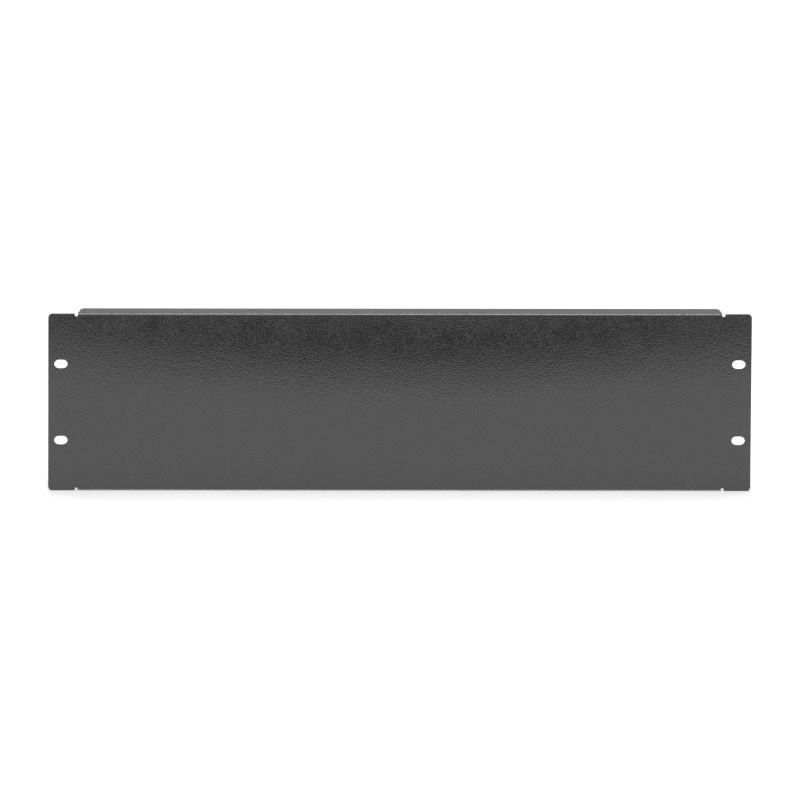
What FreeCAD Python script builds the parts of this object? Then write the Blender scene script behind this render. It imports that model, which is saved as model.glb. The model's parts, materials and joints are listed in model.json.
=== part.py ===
"""Rack blanking panel, 3 rack units high: one steel sheet, punched, cut and folded.

The sheet is a flat face with a mounting ear at each end. Between the ears its top and bottom
edges are folded back into two stiffening flanges. A bend relief beside each end of each flange
lets the fold stop short of the ear. Four slots in the ears take the rack screws.

Axes: +X to the right, +Z up, and the painted face looks along -Y. The origin is the centre of
the four slots, in the plane of the back of the ears, which is the plane that bolts to the rack.
The panel is alike on both sides of that centre, so one quarter is drawn and mirrored twice.
"""
import FreeCAD, Part
import math
import os
from dataclasses import dataclass
from enum import IntEnum

import Sketcher

NODE = "blanking_panel"

# Driving sizes in millimetres: alias, value, what it measures.
SIZES = [
    ("panel_width", 482.6, "width over both ears"),
    ("panel_height", 132.55, "height of 3 rack units, less the gap between panels"),
    ("sheet_thickness", 1.2, "painted steel sheet"),
    ("bend_inner_radius", 0.6, "radius inside each fold"),
    ("flange_depth", 10.0, "front face to rear edge of a flange"),
    ("flange_end_lean", 2.3, "how far a flange's end slopes in, from the fold to the rear edge"),
    ("flange_corner_radius", 3.0, "rounding of a flange's rear corners"),
    ("ear_width", 18.3, "side of the panel to bend relief"),
    ("ear_corner_radius", 3.0, "rounding of the panel's four corners"),
    ("relief_width", 2.0, "ear to end of flange"),
    ("relief_overcut", 0.2, "how far a relief runs past the bend line"),
    ("slot_edge_distance", 8.75, "side of the panel to slot centre"),
    ("slot_pitch_height", 57.15, "slot centre to slot centre up an ear"),
    ("slot_width", 6.5, "slot across, twice the radius of its ends"),
    ("slot_travel", 2.5, "straight part of a slot, end centre to end centre"),
]

# Lengths that follow from the driving sizes, as expressions of the spreadsheet's cells.
HALF_WIDTH = "sizes.panel_width / 2"
HALF_HEIGHT = "sizes.panel_height / 2"
BEND_OUTER_RADIUS = "(sizes.bend_inner_radius + sizes.sheet_thickness)"
RELIEF_DEPTH = f"({BEND_OUTER_RADIUS} + sizes.relief_overcut)"
EAR_INNER_SIDE = f"{HALF_WIDTH} - sizes.ear_width"
FLANGE_END = f"{EAR_INNER_SIDE} - sizes.relief_width"
FLANGE_REAR = "(sizes.flange_depth - sizes.sheet_thickness)"


class Axis(IntEnum):
    """Sketcher's numbers for a sketch's own axes. Its origin is the start of the level one."""

    LEVEL = -1
    UPRIGHT = -2


class Spot(IntEnum):
    """Sketcher's numbers for the points of a line or an arc."""

    START = 1
    END = 2
    CENTRE = 3


ORIGIN = (Axis.LEVEL, Spot.START)


@dataclass(frozen=True)
class Side:
    """One level or upright side of an outline.

    offset is its distance from the sketch's origin, or None where it lies on an axis.
    radius rounds the corner that the side starts from.
    """

    name: str
    offset: str | None = None
    radius: str | None = None


def add_sizes(doc):
    """Fill the spreadsheet that every sketch and feature takes its sizes from."""
    sheet = doc.addObject("Spreadsheet::Sheet", "sizes")
    for row, (alias, value, meaning) in enumerate(SIZES, start=1):
        sheet.set(f"A{row}", meaning)
        sheet.set(f"B{row}", str(value))
        sheet.setAlias(f"B{row}", alias)
    doc.recompute()


def origin_plane(body, role):
    """The body's own origin plane with this role."""
    return next(plane for plane in body.Origin.OriginFeatures if plane.Role == role)


def add_sketch(body, name, role):
    """Add an empty sketch on one of the body's origin planes."""
    sketch = body.newObject("Sketcher::SketchObject", name)
    sketch.AttachmentSupport = [(origin_plane(body, role), "")]
    sketch.MapMode = "FlatFace"
    body.Document.recompute()
    return sketch


def length_of(sketch, expression):
    """The present value of an expression of the spreadsheet's cells."""
    return float(sketch.evalExpression(expression))


def constrain(sketch, kind, *references):
    """Add a geometric constraint, which has no size."""
    sketch.addConstraint(Sketcher.Constraint(kind, *references))


def dimension(sketch, name, expression, kind, *references):
    """Add a named dimension and tie it to an expression of the spreadsheet's cells."""
    value = length_of(sketch, expression)
    index = sketch.addConstraint(Sketcher.Constraint(kind, *references, value))
    sketch.renameConstraint(index, name)
    sketch.setExpression(f"Constraints.{name}", expression)


def outline_corners(offsets):
    """The corner that each side starts from, where level and upright sides take turns."""
    corners = []
    for index, offset in enumerate(offsets):
        level = index % 2 == 0
        before = offsets[index - 1]
        corners.append(FreeCAD.Vector(before, offset) if level else FreeCAD.Vector(offset, before))
    return corners


def quarter_arc(corner, inward, outward, radius):
    """The quarter circle in a corner, between a side that runs inward and one that runs outward."""
    centre = corner + (outward - inward) * radius
    left_turn = inward.cross(outward).z > 0
    first = -outward if left_turn else inward
    angle = math.atan2(first.y, first.x)
    circle = Part.Circle(centre, FreeCAD.Vector(0, 0, 1), radius)
    return Part.ArcOfCircle(circle, angle, angle + math.pi / 2), left_turn


def draw_outline(sketch, sides):
    """Draw a closed outline of level and upright sides in turn, starting with a level one."""
    offsets = [length_of(sketch, side.offset) if side.offset else 0.0 for side in sides]
    radii = [length_of(sketch, side.radius) if side.radius else 0.0 for side in sides]
    corners = outline_corners(offsets)
    next_corners = corners[1:] + corners[:1]
    runs = [(end - start).normalize() for start, end in zip(corners, next_corners)]
    lines = []
    for index, side in enumerate(sides):
        following = index + 1 - len(sides)
        start = corners[index] + runs[index] * radii[index]
        end = corners[following] - runs[index] * radii[following]
        line = sketch.addGeometry(Part.LineSegment(start, end))
        lines.append(line)
        level = index % 2 == 0
        constrain(sketch, "Horizontal" if level else "Vertical", line)
        if side.offset is None:
            axis = Axis.LEVEL if level else Axis.UPRIGHT
            constrain(sketch, "PointOnObject", line, Spot.START, axis)
        else:
            kind = "DistanceY" if level else "DistanceX"
            dimension(sketch, side.name, side.offset, kind, *ORIGIN, line, Spot.START)
    for index, side in enumerate(sides):
        if side.radius is None:
            constrain(sketch, "Coincident", lines[index - 1], Spot.END, lines[index], Spot.START)
            continue
        curve, left_turn = quarter_arc(corners[index], runs[index - 1], runs[index], radii[index])
        arc = sketch.addGeometry(curve)
        entry, leave = (Spot.START, Spot.END) if left_turn else (Spot.END, Spot.START)
        constrain(sketch, "Tangent", lines[index - 1], Spot.END, arc, entry)
        constrain(sketch, "Tangent", arc, leave, lines[index], Spot.START)
        dimension(sketch, f"{side.name}_radius", side.radius, "Radius", arc)


def add_pad(body, name, sketch, length):
    """Thicken a sketch along its plane's normal."""
    pad = body.newObject("PartDesign::Pad", name)
    pad.Profile = sketch
    pad.setExpression("Length", length)
    return pad


def add_folded_quarter(body):
    """Run the section of the face, the fold and the flange from the middle to the flange's end."""
    sketch = add_sketch(body, "fold_section", "YZ_Plane")
    sides = [
        Side("middle"),
        Side("back_face"),
        Side("flange_inside", f"{HALF_HEIGHT} - sizes.sheet_thickness", "sizes.bend_inner_radius"),
        Side("flange_rear_edge", FLANGE_REAR),
        Side("flange_outside", HALF_HEIGHT),
        Side("front_face", "-sizes.sheet_thickness", BEND_OUTER_RADIUS),
    ]
    draw_outline(sketch, sides)
    return add_pad(body, "folded_quarter", sketch, FLANGE_END)


def add_ear_quarter(body):
    """Add the upper half of an ear, cut back by the bend relief beside the flange."""
    sketch = add_sketch(body, "ear_outline", "XZ_Plane")
    relief_radius = f"min(sizes.relief_width; {RELIEF_DEPTH}) / 2"
    sides = [
        Side("middle"),
        Side("ear_side", HALF_WIDTH),
        Side("ear_top", HALF_HEIGHT, "sizes.ear_corner_radius"),
        Side("ear_inner_side", EAR_INNER_SIDE),
        Side("relief_floor", f"{HALF_HEIGHT} - {RELIEF_DEPTH}", relief_radius),
        Side("flange_end", FLANGE_END),
    ]
    draw_outline(sketch, sides)
    add_pad(body, "ear_quarter", sketch, "sizes.sheet_thickness")


def draw_slot(sketch):
    """Draw one slot: two half circles, side by side, joined by two level lines."""
    radius = length_of(sketch, "sizes.slot_width / 2")
    half_travel = length_of(sketch, "sizes.slot_travel / 2")
    middle = FreeCAD.Vector(
        length_of(sketch, f"{HALF_WIDTH} - sizes.slot_edge_distance"),
        length_of(sketch, "sizes.slot_pitch_height / 2"),
    )
    along, up = FreeCAD.Vector(half_travel, 0), FreeCAD.Vector(0, radius)
    normal = FreeCAD.Vector(0, 0, 1)
    quarter = math.pi / 2
    right_circle = Part.Circle(middle + along, normal, radius)
    left_circle = Part.Circle(middle - along, normal, radius)
    right = sketch.addGeometry(Part.ArcOfCircle(right_circle, -quarter, quarter))
    top = sketch.addGeometry(Part.LineSegment(middle + along + up, middle - along + up))
    left = sketch.addGeometry(Part.ArcOfCircle(left_circle, quarter, 3 * quarter))
    bottom = sketch.addGeometry(Part.LineSegment(middle - along - up, middle + along - up))
    loop = [right, top, left, bottom]
    for before, after in zip(loop, loop[1:] + loop[:1]):
        constrain(sketch, "Tangent", before, Spot.END, after, Spot.START)
    for line in (top, bottom):
        constrain(sketch, "Horizontal", line)
    dimension(sketch, "end_radius", "sizes.slot_width / 2", "Radius", right)
    left_centre, right_centre = (left, Spot.CENTRE), (right, Spot.CENTRE)
    dimension(sketch, "travel", "sizes.slot_travel", "DistanceX", *left_centre, *right_centre)
    near_centre = f"{HALF_WIDTH} - sizes.slot_edge_distance - sizes.slot_travel / 2"
    dimension(sketch, "left_centre", near_centre, "DistanceX", *ORIGIN, *left_centre)
    height = "sizes.slot_pitch_height / 2"
    dimension(sketch, "centre_height", height, "DistanceY", *ORIGIN, *left_centre)


def add_slot(body):
    """Punch one rack slot through the ear."""
    doc = body.Document
    doc.recompute()
    solid_before = body.Shape.Volume
    sketch = add_sketch(body, "slot_outline", "XZ_Plane")
    draw_slot(sketch)
    pocket = body.newObject("PartDesign::Pocket", "rack_slot")
    pocket.Profile = sketch
    pocket.Reversed = True
    pocket.Type = "ThroughAll"
    doc.recompute()
    if not pocket.Shape.Volume < solid_before:
        raise RuntimeError("the rack slot cuts nothing out of the ear")


def add_flange_slope(body):
    """Cut a wedge off the end of the flange, from the fold to the rear edge."""
    sketch = add_sketch(body, "flange_slope_outline", "XY_Plane")
    end = length_of(sketch, FLANGE_END)
    lean = length_of(sketch, "sizes.flange_end_lean")
    fold_end = FreeCAD.Vector(end, length_of(sketch, "sizes.bend_inner_radius"))
    square_corner = FreeCAD.Vector(end, length_of(sketch, FLANGE_REAR))
    leaning_corner = square_corner - FreeCAD.Vector(lean, 0)
    corners = [fold_end, square_corner, leaning_corner]
    upright, level, slope = (
        sketch.addGeometry(Part.LineSegment(start, stop))
        for start, stop in zip(corners, corners[1:] + corners[:1])
    )
    constrain(sketch, "Vertical", upright)
    constrain(sketch, "Horizontal", level)
    for before, after in ((upright, level), (level, slope), (slope, upright)):
        constrain(sketch, "Coincident", before, Spot.END, after, Spot.START)
    start = (upright, Spot.START)
    dimension(sketch, "flange_end", FLANGE_END, "DistanceX", *ORIGIN, *start)
    dimension(sketch, "fold_end", "sizes.bend_inner_radius", "DistanceY", *ORIGIN, *start)
    dimension(sketch, "rear_edge", FLANGE_REAR, "DistanceY", *ORIGIN, upright, Spot.END)
    ends = (level, Spot.END, level, Spot.START)
    dimension(sketch, "lean", "sizes.flange_end_lean", "DistanceX", *ends)
    pocket = body.newObject("PartDesign::Pocket", "flange_slope")
    pocket.Profile = sketch
    pocket.Reversed = True
    pocket.Type = "ThroughAll"
    body.Document.recompute()
    return leaning_corner


def edges_at(shape, x, y):
    """The names of a shape's edges that run straight up through the point x, y."""
    return [
        f"Edge{number}"
        for number, edge in enumerate(shape.Edges, start=1)
        if all(math.hypot(end.X - x, end.Y - y) < 1e-6 for end in edge.Vertexes)
    ]


def add_flange_corner(body, corner):
    """Round the rear corner of the flange, which is an edge through the thickness of the sheet."""
    tip = body.Tip
    corner_edges = edges_at(tip.Shape, corner.x, corner.y)
    fillet = body.newObject("PartDesign::Fillet", "flange_corner")
    fillet.Base = (tip, corner_edges)
    fillet.setExpression("Radius", "sizes.flange_corner_radius")


def mirror_whole(body, name, role):
    """Mirror all of the body so far in one of its origin planes."""
    mirror = body.newObject("PartDesign::Mirrored", name)
    mirror.TransformMode = "Whole shape"
    mirror.MirrorPlane = (origin_plane(body, role), [""])
    mirror.Refine = True
    body.Tip = mirror
    body.Document.recompute()


def build_panel(doc):
    """Build the whole folded sheet as one body."""
    body = doc.addObject("PartDesign::Body", NODE)
    body.Label = NODE
    body.Placement = FreeCAD.Placement()
    add_folded_quarter(body)
    add_ear_quarter(body)
    add_slot(body)
    add_flange_corner(body, add_flange_slope(body))
    mirror_whole(body, "left_and_right", "YZ_Plane")
    mirror_whole(body, "top_and_bottom", "XY_Plane")
    return body


def check_document(doc, bodies):
    """Stop unless every object recomputed and every body is one valid solid."""
    doc.recompute()
    for item in doc.Objects:
        if "Invalid" in item.State or "Error" in item.State:
            raise RuntimeError(f"{item.Name} did not recompute: {item.State}")
    for body in bodies:
        shape = body.Shape
        if shape.isNull() or not shape.isValid() or len(shape.Solids) != 1:
            raise RuntimeError(f"{body.Label} is not one valid solid")


def main():
    """Build the document, check it and write one STEP file for each body."""
    doc = FreeCAD.newDocument(NODE)
    add_sizes(doc)
    bodies = [build_panel(doc)]
    check_document(doc, bodies)
    os.makedirs("parts", exist_ok=True)
    for body in bodies:
        body.Shape.exportStep(f"parts/{body.Label}.step")


main()
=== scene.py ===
"""Looks of the rack blanking panel: one punched and folded steel sheet in textured powder coat.

The sheet is worked out flat first, as its outline, its four slots and its rounded rims. A formula
then folds it, so that face, bends and flanges are one closed skin with exact normals. Units and
axes are the frame's: metres, +X to the right, +Z up, and the painted face looks along -Y.
"""

import json
import logging
import math
from dataclasses import dataclass, field
from enum import Enum, IntEnum
from typing import Any

import bpy
import numpy as np
from mathutils import Matrix, Vector
from mathutils.geometry import delaunay_2d_cdt

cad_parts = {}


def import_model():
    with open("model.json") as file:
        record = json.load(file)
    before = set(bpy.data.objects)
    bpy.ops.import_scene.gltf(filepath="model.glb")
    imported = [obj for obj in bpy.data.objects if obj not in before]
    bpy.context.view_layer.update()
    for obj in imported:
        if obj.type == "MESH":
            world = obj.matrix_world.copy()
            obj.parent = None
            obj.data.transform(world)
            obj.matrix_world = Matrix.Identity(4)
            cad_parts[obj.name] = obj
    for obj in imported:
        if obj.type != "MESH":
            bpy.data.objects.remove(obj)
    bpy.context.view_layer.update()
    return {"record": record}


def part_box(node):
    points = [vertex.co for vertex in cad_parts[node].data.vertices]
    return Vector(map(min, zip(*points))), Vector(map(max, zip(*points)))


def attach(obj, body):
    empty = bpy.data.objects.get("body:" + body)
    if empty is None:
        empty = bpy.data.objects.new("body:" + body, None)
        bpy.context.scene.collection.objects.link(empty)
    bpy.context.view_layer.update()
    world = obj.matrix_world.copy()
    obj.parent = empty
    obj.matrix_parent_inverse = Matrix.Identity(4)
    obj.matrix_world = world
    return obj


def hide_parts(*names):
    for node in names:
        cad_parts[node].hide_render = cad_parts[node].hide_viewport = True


NODE = "blanking_panel"
BODY = "root"
SLOT = "powder_coat"
MM = 0.001
BLACK = (0.0, 0.0, 0.0, 1.0)
WHITE = (1.0, 1.0, 1.0, 1.0)
TINY = 1e-9  # lengths and directions that differ by less are equal
NEAR_END = 1e-3  # share of a straight part in which a new point would crowd its end
LEAST_GAP = 0.25  # share of the step in which a new point would crowd its neighbour
FILL_REACH_MM = 1e-6  # points nearer than this count as one to the fill
FILL_SHIFT_MM = 1e-4  # how far a point may end up from its place in the fill

log = logging.getLogger("blanking_panel")


class Filling(IntEnum):
    """How a plane outline is filled with triangles; the number is the library's own."""

    INSIDE = 1


class MixInput(IntEnum):
    """The Mix node's inputs, which share their names between numbers and colours."""

    SHARE = 0
    FIRST_NUMBER = 2
    SECOND_NUMBER = 3
    FIRST_COLOUR = 6
    SECOND_COLOUR = 7


class MixOutput(IntEnum):
    """The Mix node's outputs."""

    NUMBER = 0
    COLOUR = 2


class Ray(Enum):
    """The kinds of ray that see the plain background instead of the light it gives off."""

    CAMERA = "Is Camera Ray"
    GLOSSY = "Is Glossy Ray"
    TRANSMISSION = "Is Transmission Ray"


# ---------------------------------------------------------------------------------------------
# Node helpers
# ---------------------------------------------------------------------------------------------


@dataclass
class Nodes:
    """A node tree with short ways to add nodes and join them."""

    tree: bpy.types.NodeTree

    def add(self, kind: str, inputs: dict[str | int, Any] | None = None, **settings: Any) -> Any:
        """Add a node.

        Args:
            kind: The node's type name.
            inputs: For each input, by name or number, a value or the output that feeds it.
            **settings: The node's own properties.

        Returns:
            The new node.
        """
        node = self.tree.nodes.new(kind)
        for name, value in settings.items():
            setattr(node, name, value)
        for key, value in (inputs or {}).items():
            if isinstance(value, bpy.types.NodeSocket):
                self.tree.links.new(value, node.inputs[key])
            else:
                node.inputs[key].default_value = value
        return node

    def math(self, operation: str, *values: Any) -> bpy.types.NodeSocket:
        """Join numbers or outputs by one step of arithmetic, and give the result's output."""
        return self.add("ShaderNodeMath", dict(enumerate(values)), operation=operation).outputs[0]

    def spread(self, value: Any, low: float, high: float, start: float, end: float) -> Any:
        """Map low to high onto start to end, held at both ends, and give the output."""
        inputs = {"Value": value, "From Min": low, "From Max": high, "To Min": start, "To Max": end}
        return self.add("ShaderNodeMapRange", inputs).outputs["Result"]


def new_material(name: str) -> tuple[bpy.types.Material, Nodes]:
    """Make an empty node material.

    Args:
        name: The material's name.

    Returns:
        The material and its nodes.
    """
    material = bpy.data.materials.new(name)
    material.use_nodes = True
    material.node_tree.nodes.clear()
    return material, Nodes(material.node_tree)


# ---------------------------------------------------------------------------------------------
# Finish
# ---------------------------------------------------------------------------------------------


@dataclass(frozen=True)
class PowderCoat:
    """Fine-textured, semi-gloss powder coat: small cured beads with shallow seams between them."""

    colour: tuple[float, float, float] = (0.036, 0.036, 0.037)
    bead_width: float = 1.05 * MM
    bead_height: float = 0.077 * MM
    bead_softness: float = 0.35
    ripple_width: float = 0.55 * MM
    ripple_detail: float = 1.0
    ripple_share: float = 0.1
    patch_width: float = 22 * MM
    patch_detail: float = 2.0
    patch_band: tuple[float, float] = (0.35, 0.65)
    patch_least: float = 0.72
    gloss_swings_per_patch: int = 3
    gloss_detail: float = 3.0
    gloss_band: tuple[float, float] = (0.3, 0.7)
    roughness: float = 0.12
    roughness_swing: float = 0.015
    # painted shade: between these heights the seams' colour is darkened towards black, for the
    # shade that falls in them
    seam_painted_shade_band: tuple[float, float] = (0.35, 0.95)
    seam_painted_shade: float = 0.85
    ior: float = 1.62

    def relief(self, nodes: Nodes, place: bpy.types.NodeSocket) -> bpy.types.NodeSocket:
        """Work out the height of the coat over its seams, from 0 to about 1.

        The height is one less the distance from the middle of a bead, with a finer ripple added,
        and a slow swing makes it stand higher in some patches than in others.

        Args:
            nodes: The material's nodes.
            place: Object coordinates.

        Returns:
            The height's output.
        """
        beads = nodes.add(
            "ShaderNodeTexVoronoi",
            {"Vector": place, "Scale": 1 / self.bead_width, "Smoothness": self.bead_softness},
            feature="SMOOTH_F1",
        )
        domes = nodes.math("SUBTRACT", 1.0, beads.outputs["Distance"])
        ripple = self.noise(nodes, place, self.ripple_width, self.ripple_detail)
        patches = self.noise(nodes, place, self.patch_width, self.patch_detail)
        height = nodes.math("MULTIPLY_ADD", ripple, self.ripple_share, domes)
        swing = nodes.spread(patches, *self.patch_band, self.patch_least, 1.0)
        return nodes.math("MULTIPLY", height, swing)

    @staticmethod
    def noise(nodes: Nodes, place: bpy.types.NodeSocket, width: float, detail: float) -> Any:
        """Add noise with swings of the given width, and give its output."""
        inputs = {"Vector": place, "Scale": 1 / width, "Detail": detail}
        return nodes.add("ShaderNodeTexNoise", inputs).outputs["Fac"]

    def material(self) -> bpy.types.Material:
        """Build the coat's material on Object coordinates.

        Painted shade makes the seams a little darker than the beads, and the gloss swings slowly
        over the sheet.

        Returns:
            The material.
        """
        material, nodes = new_material(SLOT)
        place = nodes.add("ShaderNodeTexCoord").outputs["Object"]
        height = self.relief(nodes, place)
        bump = nodes.add("ShaderNodeBump", {"Height": height, "Distance": self.bead_height})
        # painted shade: the colour goes towards black in the seams, where shade falls
        shade = nodes.spread(height, *self.seam_painted_shade_band, self.seam_painted_shade, 1.0)
        tones = {MixInput.FIRST_COLOUR: BLACK, MixInput.SECOND_COLOUR: (*self.colour, 1.0)}
        colour = nodes.add("ShaderNodeMix", {**tones, MixInput.SHARE: shade}, data_type="RGBA")
        gloss_width = self.patch_width / self.gloss_swings_per_patch
        gloss = self.noise(nodes, place, gloss_width, self.gloss_detail)
        low, high = self.roughness - self.roughness_swing, self.roughness + self.roughness_swing
        shader = nodes.add(
            "ShaderNodeBsdfPrincipled",
            {
                "Base Color": colour.outputs[MixOutput.COLOUR],
                "Roughness": nodes.spread(gloss, *self.gloss_band, low, high),
                "IOR": self.ior,
                "Normal": bump.outputs["Normal"],
            },
        )
        nodes.add("ShaderNodeOutputMaterial", {"Surface": shader.outputs["BSDF"]})
        return material


# ---------------------------------------------------------------------------------------------
# The folded sheet
# ---------------------------------------------------------------------------------------------


@dataclass(frozen=True)
class Run:
    """Points along an edge of the flat sheet, with the direction out of the steel at each."""

    points: np.ndarray
    outward: np.ndarray

    def mirrored(self, across: float, up: float) -> "Run":
        """Turn the run over.

        Args:
            across: -1 to swap left and right, or 1.
            up: -1 to swap top and bottom, or 1.

        Returns:
            The new run, which goes on the same way round the sheet.
        """
        turned = np.array([across, up])
        order = slice(None) if across * up > 0 else slice(None, None, -1)
        return Run((self.points * turned)[order], (self.outward * turned)[order])

    def closed(self, *others: "Run") -> "Run":
        """Join this run and the others, each without its last point, into one loop."""
        runs = (self, *others)
        return Run(
            np.concatenate([run.points[:-1] for run in runs]),
            np.concatenate([run.outward[:-1] for run in runs]),
        )


def rounded_run(corners: np.ndarray, radii: np.ndarray, steps: int) -> Run:
    """Follow straight sides, with an arc that touches both sides at each corner.

    The arc starts radius * tan(half the corner's turn) before the corner, and its middle lies one
    radius away on the side that the corner turns to. A point at turn t lies from there at
    radius * (before * sin t - aside * cos t), where the heading is before * cos t + aside * sin t.
    Outward is the heading turned left.

    Args:
        corners: The sharp corners in order, with the two ends of the run.
        radii: The radius at each corner between the ends.
        steps: How many steps each arc has.

    Returns:
        The run.
    """
    sides = np.diff(corners, axis=0)
    sides = sides / np.linalg.norm(sides, axis=1, keepdims=True)
    before, after = sides[:-1], sides[1:]
    left = np.stack([-before[:, 1], before[:, 0]], axis=1)
    leftward = (left * after).sum(axis=1)
    whole = np.arctan2(np.abs(leftward), (before * after).sum(axis=1))
    aside = (left * np.sign(leftward)[:, None])[:, None]
    before, radius = before[:, None], radii[:, None, None]
    start = corners[1:-1, None] - before * radius * np.tan(whole / 2)[:, None, None]
    turn = (whole[:, None] * np.linspace(0, 1, steps + 1))[..., None]
    arcs = start + radius * (aside + before * np.sin(turn) - aside * np.cos(turn))
    headings = before * np.cos(turn) + aside * np.sin(turn)
    points = np.concatenate([corners[:1], arcs.reshape(-1, 2), corners[-1:]])
    heading = np.concatenate([sides[:1], headings.reshape(-1, 2), sides[-1:]])
    return Run(points, np.stack([-heading[:, 1], heading[:, 0]], axis=1))


def with_more_points(run: Run, step: float, heights: np.ndarray) -> Run:
    """Add points on a run's straight parts: one every step, and one at each of some heights.

    Args:
        run: The run, whose points on a straight part share one outward direction.
        step: The spacing of the points that only split long parts.
        heights: Heights at which each upright part gets a point.

    Returns:
        The run with the new points in their places.
    """
    ends = np.linalg.norm(np.diff(run.points, axis=0), axis=1)
    length = np.concatenate([[0.0], np.cumsum(ends)])
    even = np.arange(step, length[-1], step)
    rise = np.diff(run.points[:, 1])
    upright = np.abs(np.abs(rise) - ends) < TINY
    share = (heights[None, :] - run.points[:-1, 1:]) / np.where(upright, rise, 1.0)[:, None]
    crossing = upright[:, None] & (share > NEAR_END) & (share < 1 - NEAR_END)
    at_heights = (length[:-1, None] + share * ends[:, None])[crossing]
    gap = np.abs(even[:, None] - np.concatenate([length, at_heights])[None, :]).min(axis=1)
    marks = np.concatenate([even[gap > step * LEAST_GAP], at_heights])
    part = np.searchsorted(length, marks) - 1
    straight = np.abs(run.outward[part] - run.outward[part + 1]).max(axis=1) < TINY
    marks = np.sort(np.concatenate([length, marks[straight]]))
    columns = np.concatenate([run.points, run.outward], axis=1)
    mixed = np.stack([np.interp(marks, length, column) for column in columns.T], axis=1)
    return Run(mixed[:, :2], mixed[:, 2:])


def next_in_loops(loops: list[Run]) -> np.ndarray:
    """Number all the loops' points in one row, and find the point after each in its own loop.

    Args:
        loops: The closed runs, in order.

    Returns:
        For each point, the number of the next.
    """
    counts = np.array([len(loop.points) for loop in loops])
    starts = np.cumsum(counts) - counts
    following = np.arange(1, counts.sum() + 1)
    following[starts + counts - 1] = starts
    return following


@dataclass(frozen=True)
class Fold:
    """The bend that turns both long edges of the flat sheet back through a right angle."""

    line: float
    radius: float
    front: float
    reach: float

    def angle(self, across: np.ndarray, up: np.ndarray) -> np.ndarray:
        """How far the sheet has turned: the way past the bend line over the outer radius."""
        turned = np.clip((np.abs(up) - self.line) / self.radius, 0.0, math.pi / 2)
        return np.where(np.abs(across) < self.reach, turned, 0.0)

    def place(self, across: np.ndarray, up: np.ndarray, deep: np.ndarray) -> np.ndarray:
        """Fold points of the flat sheet.

        In the bend a point circles the bend's middle, at the outer radius less its depth. Past the
        bend it goes straight back by what is left of its way.

        Args:
            across: Distance from the middle, to the right.
            up: Distance from the middle along the outer skin, upwards.
            deep: Depth under the painted face.

        Returns:
            Points as rows of x, y and z.
        """
        turned = self.angle(across, up)
        folds = np.abs(across) < self.reach
        height = np.abs(up)
        past = np.where(folds, np.maximum(height - self.line - self.radius * math.pi / 2, 0.0), 0.0)
        level = np.where(folds, np.minimum(height, self.line), height)
        arm = self.radius - deep
        back = self.front + self.radius - arm * np.cos(turned) + past
        return np.stack([across, back, np.sign(up) * (level + arm * np.sin(turned))], axis=-1)

    def turn(self, across: np.ndarray, up: np.ndarray, directions: np.ndarray) -> np.ndarray:
        """Fold directions at points of the flat sheet.

        Args:
            across: Distance from the middle, to the right.
            up: Distance from the middle along the outer skin, upwards.
            directions: Rows of the shares across, up and deep.

        Returns:
            Directions as rows of x, y and z.
        """
        turned = self.angle(across, up)
        side = np.where(up < 0, -1.0, 1.0)
        away, deep = directions[..., 1] * side, directions[..., 2]
        back = away * np.sin(turned) + deep * np.cos(turned)
        rise = side * (away * np.cos(turned) - deep * np.sin(turned))
        return np.stack([directions[..., 0], back, rise], axis=-1)


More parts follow.
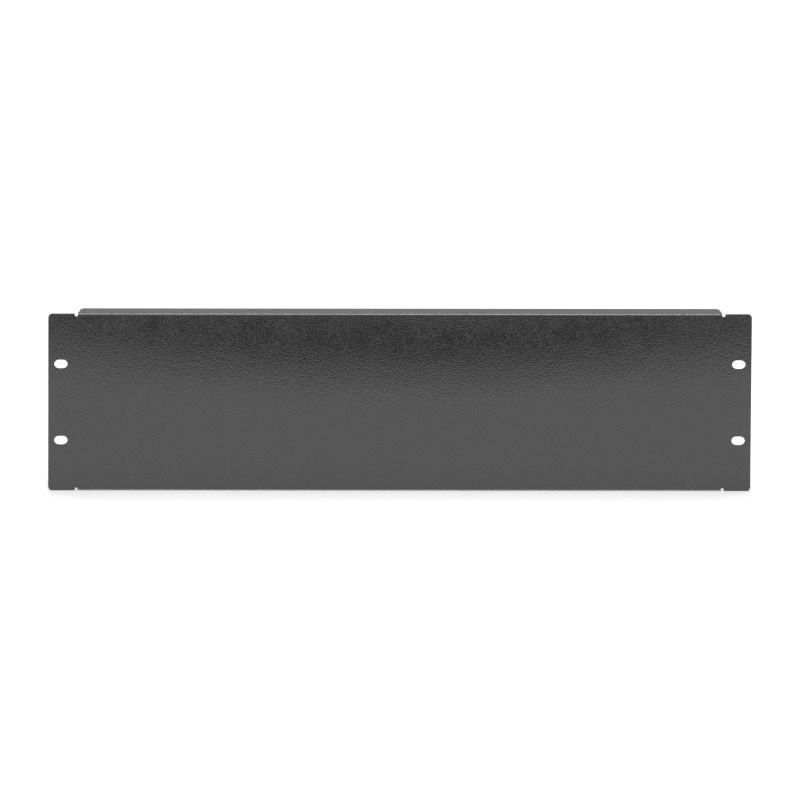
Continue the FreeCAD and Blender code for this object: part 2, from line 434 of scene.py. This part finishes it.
@dataclass
class FoldedSheet:
    """The panel: a face with an ear at each end and a flange along its top and bottom edges."""

    low: Vector
    high: Vector
    slot_across: float
    slot_up: float
    slot_radius: float
    slot_length: float
    bend_inner_radius: float = 0.6 * MM
    flange_end_lean: float = 2.3 * MM
    lean_start_radius: float = 0.5 * MM
    lean_start_gap: float = 0.15 * MM
    flange_corner_radius: float = 3.0 * MM
    ear_width: float = 18.3 * MM
    ear_corner_radius: float = 3.0 * MM
    relief_width: float = 2.0 * MM
    relief_overcut: float = 0.2 * MM
    sharp_corner_radius: float = 0.45 * MM
    rim_radius: float = 0.25 * MM
    corner_steps: int = 10
    bend_steps: int = 14
    rim_steps: int = 4
    slot_steps: int = 20
    flange_steps: int = 3
    cell: float = 9.0 * MM
    edge_margin: float = 0.8 * MM

    @property
    def thickness(self) -> float:
        """The sheet's thickness: the ears' backs lie in the plane y = 0."""
        return -self.low.y

    @property
    def fold(self) -> Fold:
        """The bend, set by the outside of the panel."""
        radius = self.bend_inner_radius + self.thickness
        reach = self.high.x - self.ear_width - self.relief_width / 2
        return Fold(self.high.z - radius, radius, self.low.y, reach)

    @property
    def flange_end(self) -> float:
        """Where a flange ends, across."""
        return self.high.x - self.ear_width - self.relief_width

    @property
    def flat_half_height(self) -> float:
        """Half the height of the flat sheet, along its outer skin."""
        fold = self.fold
        return fold.line + fold.radius * math.pi / 2 + self.high.y - self.low.y - fold.radius

    @property
    def relief_floor(self) -> float:
        """Height of the bottom of a bend relief."""
        return self.fold.line - self.relief_overcut

    @property
    def slot_straight_half(self) -> float:
        """Half the length of a slot's straight part."""
        return self.slot_length / 2 - self.slot_radius

    def bend_rows(self) -> np.ndarray:
        """Heights on the flat sheet of even steps round the upper bend, its two ends included."""
        fold = self.fold
        return fold.line + fold.radius * np.linspace(0, math.pi / 2, self.bend_steps + 1)

    def outline(self) -> Run:
        """Follow the flat sheet's outline: one quarter, turned over to make the other three.

        Returns:
            The closed run.
        """
        top, end, ear = self.flat_half_height, self.flange_end, self.high.x - self.ear_width
        corners = np.array([
            (0.0, top),
            (end - self.flange_end_lean, top),
            (end, self.bend_rows()[-1] + self.lean_start_gap),
            (end, self.relief_floor),
            (ear, self.relief_floor),
            (ear, self.high.z),
            (self.high.x, self.high.z),
            (self.high.x, 0.0),
        ])
        relief_depth = self.high.z - self.relief_floor
        radii = np.array([
            self.flange_corner_radius,
            self.lean_start_radius,
            self.sharp_corner_radius,
            min(self.relief_width, relief_depth) / 2,
            self.sharp_corner_radius,
            self.ear_corner_radius,
        ])
        quarter = rounded_run(corners, radii, self.corner_steps)
        quarter = with_more_points(quarter, self.cell, self.bend_rows())
        return quarter.closed(
            quarter.mirrored(1, -1), quarter.mirrored(-1, -1), quarter.mirrored(-1, 1)
        )

    def slot_outline(self, side: int, level: int) -> Run:
        """Follow one slot: two half circles joined by level lines, with outward into the slot.

        Args:
            side: 1 for the right ear, -1 for the left.
            level: 1 for the upper slot, -1 for the lower.

        Returns:
            The closed run.
        """
        half_turn = np.linspace(-math.pi / 2, math.pi / 2, self.slot_steps + 1)
        angle = np.concatenate([half_turn, half_turn + math.pi])
        shift = np.repeat([1.0, -1.0], self.slot_steps + 1) * self.slot_straight_half
        spoke = np.stack([np.cos(angle), np.sin(angle)], axis=1)
        points = spoke * self.slot_radius
        points[:, 0] += shift + side * self.slot_across
        points[:, 1] += level * self.slot_up
        return Run(points, -spoke)

    def rim_profile(self) -> tuple[np.ndarray, np.ndarray, np.ndarray, np.ndarray]:
        """Work out the rim's section: a quarter round, the cut side and a quarter round.

        Returns:
            For each point of the section, its inset from the outline, its depth, and the shares
            outward and deep of its normal.
        """
        turn = np.linspace(0, math.pi / 2, self.rim_steps + 1)
        outward = np.concatenate([np.sin(turn), np.cos(turn)])
        deep = np.concatenate([-np.cos(turn), np.sin(turn)])
        middle = np.repeat([self.rim_radius, self.thickness - self.rim_radius], self.rim_steps + 1)
        return self.rim_radius * (1 - outward), middle + self.rim_radius * deep, outward, deep

    def in_slot(self, points: np.ndarray, margin: float = 0.0) -> np.ndarray:
        """Say which points of the flat sheet lie in a slot, or within the margin of one.

        The way to a slot's middle line is the part across that is past its straight half, and the
        part up. A point is in the slot where that way is shorter than the slot's radius.

        Args:
            points: Points of the flat sheet as rows.
            margin: How far outside a slot still counts.

        Returns:
            True for each point that is in a slot.
        """
        across, up = np.abs(points[:, 0]), np.abs(points[:, 1])
        past = np.maximum(np.abs(across - self.slot_across) - self.slot_straight_half, 0.0)
        return np.hypot(past, up - self.slot_up) < self.slot_radius + margin

    def inner_points(self) -> np.ndarray:
        """Set out the points that split the skins: a grid, less what is cut out or near an edge.

        Returns:
            Points of the flat sheet as rows.
        """
        fold, margin = self.fold, self.edge_margin
        columns = int(round(2 * self.high.x / self.cell))
        across = np.linspace(-self.high.x, self.high.x, columns + 1)
        flat = np.linspace(-fold.line, fold.line, int(round(2 * fold.line / self.cell)) + 1)
        bend, top = self.bend_rows(), self.flat_half_height
        flange = np.linspace(bend[-1], top, self.flange_steps + 1)[1:-1]
        upper = np.concatenate([bend[1:], flange])
        u, v = np.meshgrid(across, np.concatenate([-upper[::-1], flat, upper]))
        x, z = np.abs(u), np.abs(v)
        corner = self.flange_corner_radius
        leaned = np.clip((z - bend[-1]) / (top - bend[-1]), 0, 1) * self.flange_end_lean
        end = self.flange_end - leaned
        in_flange = (x < end - margin) & (z < top - margin)
        in_flange &= (x < end - corner) | (z < top - corner)
        in_ear = (x < self.high.x - margin) & (z < self.relief_floor - margin)
        points = np.stack([u, v], axis=-1)[in_flange | in_ear]
        return points[~self.in_slot(points, margin)]

    def rims(self, loops: list[Run]) -> tuple[np.ndarray, np.ndarray]:
        """Carry the rim's section along every outline of the flat sheet.

        A point of the section lies inside the outline by its inset and under the painted face by
        its depth. Its normal is its share of the way out of the steel and its share of the way
        down.

        Args:
            loops: The closed outlines.

        Returns:
            Places and normals on the flat sheet. Each has a row for every point of the section,
            with every point of the outlines in it.
        """
        points = np.concatenate([loop.points for loop in loops])
        outward = np.concatenate([loop.outward for loop in loops])
        inset, depth, share_out, share_deep = (part[:, None, None] for part in self.rim_profile())
        shape = (len(inset), len(points), 1)
        places = [points - inset * outward, np.broadcast_to(depth, shape)]
        normals = [share_out * outward, np.broadcast_to(share_deep, shape)]
        return np.concatenate(places, axis=2), np.concatenate(normals, axis=2)

    def skin(self, edge: np.ndarray, following: np.ndarray, inner: np.ndarray) -> np.ndarray:
        """Fill the flat sheet inside its outline with triangles, and leave the slots open.

        Args:
            edge: The inset points of all the outlines.
            following: For each of them, the number of the next in its outline.
            inner: The points between the outlines.

        Returns:
            The triangles over the inset points and then the inner ones, all turned the same way.
        """
        points = np.concatenate([edge, inner]) / MM
        sides = np.stack([np.arange(len(edge)), following], axis=1)
        filled = delaunay_2d_cdt(
            points.tolist(), sides.tolist(), [], Filling.INSIDE, FILL_REACH_MM
        )
        if not np.allclose(np.array(filled[0]), points, atol=FILL_SHIFT_MM):
            raise ValueError("the fill moved or merged points of the flat sheet")
        triangles = np.array(filled[2])
        middles = points[triangles].mean(axis=1) * MM
        triangles = triangles[~self.in_slot(middles, self.rim_radius)]
        a, b, c = (points[triangles[:, corner]] for corner in range(3))
        span = (b - a)[:, 0] * (c - a)[:, 1] - (b - a)[:, 1] * (c - a)[:, 0]
        triangles[span < 0] = triangles[span < 0][:, ::-1]
        return triangles

    @staticmethod
    def faces(rows: int, following: np.ndarray, triangles: np.ndarray, inner: int) -> list:
        """Join the rims by quads, and lay the triangles over the front and the back.

        Args:
            rows: How many points the rim's section has.
            following: For each point of the outlines, the number of the next.
            triangles: The front skin's triangles over the first rim row and the inner points.
            inner: How many inner points there are.

        Returns:
            The faces over the rim rows, then the front's inner points, then the back's.
        """
        count = len(following)
        last = (rows - 1) * count
        on_rim = triangles < count
        front = np.where(on_rim, triangles, triangles + last)
        back = np.where(on_rim, triangles + last, triangles + last + inner)
        row = np.arange(rows - 1)[:, None] * count
        here, there = np.arange(count)[None], following[None]
        quads = np.stack([row + here, row + there, row + there + count, row + here + count], -1)
        return quads.reshape(-1, 4).tolist() + front.tolist() + back[:, ::-1].tolist()

    def mesh(self) -> bpy.types.Mesh:
        """Build the closed skin of the folded sheet.

        The rim's section is carried along every outline. Both skins are the same triangles over
        the outlines' inset points and the inner points. All of it is then folded.

        Returns:
            The mesh, with its exact normals.
        """
        loops = [self.outline()]
        loops += [self.slot_outline(side, level) for side in (1, -1) for level in (1, -1)]
        following = next_in_loops(loops)
        rim, rim_normals = self.rims(loops)
        inner = self.inner_points()
        front, back = np.zeros((len(inner), 3)), np.zeros((len(inner), 3))
        front[:, :2] = back[:, :2] = inner
        back[:, 2] = self.thickness
        flat = np.concatenate([rim.reshape(-1, 3), front, back])
        normals = np.zeros_like(flat)
        normals[: -2 * len(inner)] = rim_normals.reshape(-1, 3)
        normals[-2 * len(inner) :, 2] = np.repeat([-1.0, 1.0], len(inner))
        triangles = self.skin(rim[0, :, :2], following, inner)
        faces = self.faces(len(rim), following, triangles, len(inner))

        fold = self.fold
        mesh = bpy.data.meshes.new(NODE + "_sheet")
        mesh.from_pydata(fold.place(flat[:, 0], flat[:, 1], flat[:, 2]), [], faces)
        mesh.polygons.foreach_set("use_smooth", np.ones(len(faces), bool))
        mesh.update()
        mesh.normals_split_custom_set_from_vertices(fold.turn(flat[:, 0], flat[:, 1], normals))
        return mesh

    def build(self) -> bpy.types.Object:
        """Make the piece that stands for the CAD sheet, and dress it.

        Returns:
            The piece.
        """
        piece = bpy.data.objects.new("folded_sheet", self.mesh())
        bpy.context.scene.collection.objects.link(piece)
        piece.data.materials.append(PowderCoat().material())
        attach(piece, BODY)
        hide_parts(NODE)
        return piece


# ---------------------------------------------------------------------------------------------
# Studio
# ---------------------------------------------------------------------------------------------


def seen_by(nodes: Nodes, *rays: Ray) -> bpy.types.NodeSocket:
    """Tell some kinds of ray from all others.

    Args:
        nodes: The nodes of a material or the world.
        *rays: The kinds of ray.

    Returns:
        An output that is 1 for the named kinds and 0 for the others.
    """
    path = nodes.add("ShaderNodeLightPath")
    total = path.outputs[rays[0].value]
    for ray in rays[1:]:
        total = nodes.math("MAXIMUM", total, path.outputs[ray.value])
    return total


@dataclass(frozen=True)
class SoftBox:
    """A lamp with a rectangular white front."""

    name: str
    place: tuple[float, float, float]
    aim: tuple[float, float, float]
    width: float
    height: float
    radiance: float

    def build(self) -> None:
        """Hang the lamp; its power is pi times radiance times area."""
        lamp = bpy.data.lights.new(self.name, "AREA")
        lamp.shape = "RECTANGLE"
        lamp.size, lamp.size_y = self.width, self.height
        lamp.energy = math.pi * self.radiance * self.width * self.height
        thing = bpy.data.objects.new(self.name, lamp)
        thing.location = self.place
        way = Vector(self.aim) - Vector(self.place)
        thing.rotation_euler = way.to_track_quat("-Z", "Y").to_euler()
        thing.visible_camera = False
        bpy.context.scene.collection.objects.link(thing)


@dataclass(frozen=True)
class Studio:
    """White floor and surroundings, dark cards that paint dark reflections, soft lamps and the
    camera.

    The floor has one grey for light that falls on it, a brighter one for the camera and a darker
    one for gloss, which also sees it glow by the gloss lift. A card's two heights are its foot's
    and its top's over the floor. The camera looks at the target, moved aside by the aim.
    """

    floor_level: float
    target: Vector
    floor_half_side: float = 20.0
    floor_colour: float = 0.86
    floor_shown: float = 1.3
    floor_fade: tuple[float, float] = (0.45, 1.2)
    floor_gloss: float = 0.32
    gloss_lift: float = 1.0
    ambient: float = 0.5
    lamps: tuple[SoftBox, ...] = (
        SoftBox(
            "overhead_softbox",
            place=(0.0, -0.03, 1.25),
            aim=(0.0, -0.03, 0.0),
            width=0.64,
            height=0.9,
            radiance=6.0,
        ),
        SoftBox(
            "side_softbox",
            place=(0.75, -1.15, 0.35),
            aim=(0.1, 0.0, 0.0),
            width=0.35,
            height=0.35,
            radiance=3.0,
        ),
    )
    card_columns: int = 33
    card_distance: float = 0.208
    card_bow: float = 0.085
    card_middle: float = 0.012
    card_half_width: float = 0.33
    card_grey: float = 0.085
    card_end_grey: float = 0.5
    card_foot_grey: float = 0.4
    card_foot: float = 0.02
    cards: dict[str, tuple[float, float]] = field(
        default_factory=lambda: {"low_card": (0.0, 0.0465), "high_card": (0.078, 0.19)}
    )
    camera_distance: float = 22.3
    camera_azimuth: float = -0.64
    camera_elevation: float = 23.91
    camera_roll: float = 0.32
    frame_width: float = 0.5491
    aim_right: float = 0.00021
    aim_up: float = 0.00182
    sensor: float = 36.0
    view_depth: float = 100.0

    def build(self) -> None:
        """Set up the world, the floor, the cards, the lamps and the camera."""
        self.build_world()
        self.build_floor()
        self.build_cards()
        for lamp in self.lamps:
            lamp.build()
            log.info("lamp %s", lamp.name)
        self.build_camera()

    def build_world(self) -> None:
        """Surround the scene with an even light that looks white where it is seen."""
        world = bpy.data.worlds.new("surroundings")
        world.use_nodes = True
        world.node_tree.nodes.clear()
        nodes = Nodes(world.node_tree)
        seen = seen_by(nodes, Ray.CAMERA, Ray.GLOSSY, Ray.TRANSMISSION)
        strength = nodes.spread(seen, 0.0, 1.0, self.ambient, 1.0)
        light = nodes.add("ShaderNodeBackground", {"Color": WHITE, "Strength": strength})
        nodes.add("ShaderNodeOutputWorld", {"Surface": light.outputs["Background"]})
        bpy.context.scene.world = world

    def build_floor(self) -> None:
        """Lay a white floor that takes the panel's shadow and can't be seen from below.

        Beyond the first distance of the fade it turns into plain white background, which it is
        wholly at the second.
        """
        half, level = self.floor_half_side, self.floor_level
        square = np.array([(-1, -1), (1, -1), (1, 1), (-1, 1)]) * half
        corners = np.column_stack([square, np.full(4, level)])
        mesh = bpy.data.meshes.new("floor")
        mesh.from_pydata(corners, [], [(0, 1, 2, 3)])
        material, nodes = new_material("white_floor")
        camera, mirrored = seen_by(nodes, Ray.CAMERA), seen_by(nodes, Ray.GLOSSY, Ray.TRANSMISSION)
        tone = nodes.spread(camera, 0.0, 1.0, self.floor_colour, self.floor_shown)
        tones = {MixInput.FIRST_NUMBER: tone, MixInput.SECOND_NUMBER: self.floor_gloss}
        mixed_tone = nodes.add("ShaderNodeMix", {**tones, MixInput.SHARE: mirrored})
        paint = nodes.add("ShaderNodeBsdfDiffuse", {"Color": mixed_tone.outputs[MixOutput.NUMBER]})
        place = nodes.add("ShaderNodeTexCoord").outputs["Object"]
        length = nodes.add("ShaderNodeVectorMath", {0: place}, operation="LENGTH")
        faded = nodes.spread(length.outputs["Value"], *self.floor_fade, 0.0, 1.0)
        backdrop = nodes.math("MULTIPLY", camera, faded)
        strength = nodes.math("MULTIPLY_ADD", mirrored, self.gloss_lift, backdrop)
        lift = nodes.add("ShaderNodeEmission", {"Strength": strength})
        both = nodes.add("ShaderNodeAddShader", {0: paint.outputs[0], 1: lift.outputs[0]})
        below = nodes.add("ShaderNodeNewGeometry").outputs["Backfacing"]
        clear = nodes.add("ShaderNodeBsdfTransparent")
        surface = nodes.add(
            "ShaderNodeMixShader", {0: below, 1: both.outputs[0], 2: clear.outputs[0]}
        )
        nodes.add("ShaderNodeOutputMaterial", {"Surface": surface.outputs[0]})
        self.add_stage("floor", mesh, material)

    def build_cards(self) -> None:
        """Stand two dark cards in front of the panel, one above the other, that only gloss sees, so
        that they paint a dark reflection into the panel's gloss.

        They are one curved wall with a gap: its distance is the middle's plus the bow times the
        square of the way across over the half-width. Their grey grows from the middle's to the
        ends' by that same square, and they are paler at their foot, so the painted reflection is
        paler towards the ends and the foot.
        """
        across = np.linspace(-1.0, 1.0, self.card_columns)
        far = -(self.card_distance + self.card_bow * across**2)
        right = self.card_middle + across * self.card_half_width
        material, nodes = new_material("painted_reflection_card")
        place = nodes.add("ShaderNodeTexCoord").outputs["Object"]
        apart = nodes.add("ShaderNodeSeparateXYZ", {0: place}).outputs
        way = nodes.math("SUBTRACT", apart["X"], self.card_middle)
        square = nodes.math("POWER", nodes.math("DIVIDE", way, self.card_half_width), 2.0)
        grey = nodes.spread(square, 0.0, 1.0, self.card_grey, self.card_end_grey)
        up = self.floor_level + self.card_foot
        foot = nodes.spread(apart["Z"], self.floor_level, up, self.card_foot_grey, 0.0)
        grey = nodes.math("MAXIMUM", grey, foot)
        dark = nodes.add("ShaderNodeBsdfDiffuse", {"Color": grey})
        nodes.add("ShaderNodeOutputMaterial", {"Surface": dark.outputs[0]})
        first = np.arange(len(across) - 1)
        faces = np.stack([first, first + 1, first + 1 + len(across), first + len(across)], axis=1)
        for name, (low, high) in self.cards.items():
            edges = [
                np.stack([right, far, np.full_like(far, level)], axis=1)
                for level in (self.floor_level + low, self.floor_level + high)
            ]
            mesh = bpy.data.meshes.new(name)
            mesh.from_pydata(np.concatenate(edges), [], faces.tolist())
            card = self.add_stage(name, mesh, material)
            # painted reflection: the cards are hidden from the camera, diffuse light and shadows,
            # so they only darken what the panel's gloss mirrors
            card.visible_camera = card.visible_diffuse = card.visible_shadow = False

    @staticmethod
    def add_stage(
        name: str, mesh: bpy.types.Mesh, material: bpy.types.Material
    ) -> bpy.types.Object:
        """Add a thing that isn't part of the object.

        Args:
            name: The thing's name.
            mesh: Its mesh.
            material: What the mesh is made of.

        Returns:
            The thing.
        """
        thing = bpy.data.objects.new(name, mesh)
        mesh.materials.append(material)
        bpy.context.scene.collection.objects.link(thing)
        return thing

    def build_camera(self) -> None:
        """Set the camera up far off with a long lens, and roll it about its line of sight."""
        azimuth, elevation = math.radians(self.camera_azimuth), math.radians(self.camera_elevation)
        level = math.cos(elevation)
        back = Vector((
            math.sin(azimuth) * level, -math.cos(azimuth) * level, math.sin(elevation)
        ))
        turn = (-back).to_track_quat("-Z", "Y").to_matrix()
        turn = turn @ Matrix.Rotation(math.radians(self.camera_roll), 3, "Z")
        aside = turn @ Vector((self.aim_right, self.aim_up, 0.0))
        data = bpy.data.cameras.new("camera")
        data.sensor_width = self.sensor
        data.lens = self.sensor * self.camera_distance / self.frame_width
        data.clip_end = self.view_depth
        camera = bpy.data.objects.new("camera", data)
        place = self.target + back * self.camera_distance + aside
        camera.matrix_world = Matrix.Translation(place) @ turn.to_4x4()
        bpy.context.scene.collection.objects.link(camera)
        bpy.context.scene.camera = camera


def main() -> None:
    """Build the panel and its studio."""
    logging.basicConfig(level=logging.INFO, format="%(message)s")
    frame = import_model()
    bpy.context.scene.view_settings.view_transform = "Standard"

    low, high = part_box(NODE)
    holes = next(mount for mount in frame["record"]["mounts"] if mount["kind"] == "bolt_pattern")
    dims = holes["dims"]
    sheet = FoldedSheet(
        low,
        high,
        slot_across=dims["spacing_x_mm"] * MM / 2,
        slot_up=dims["spacing_y_mm"] * MM / 2,
        slot_radius=dims["hole_r_mm"] * MM,
        slot_length=dims["slot_length_mm"] * MM,
    )
    piece = sheet.build()
    log.info("piece %s: %d faces", piece.name, len(piece.data.polygons))

    Studio(floor_level=low.z, target=Vector((0.0, low.y, 0.0))).build()


if __name__ == "__main__":
    main()
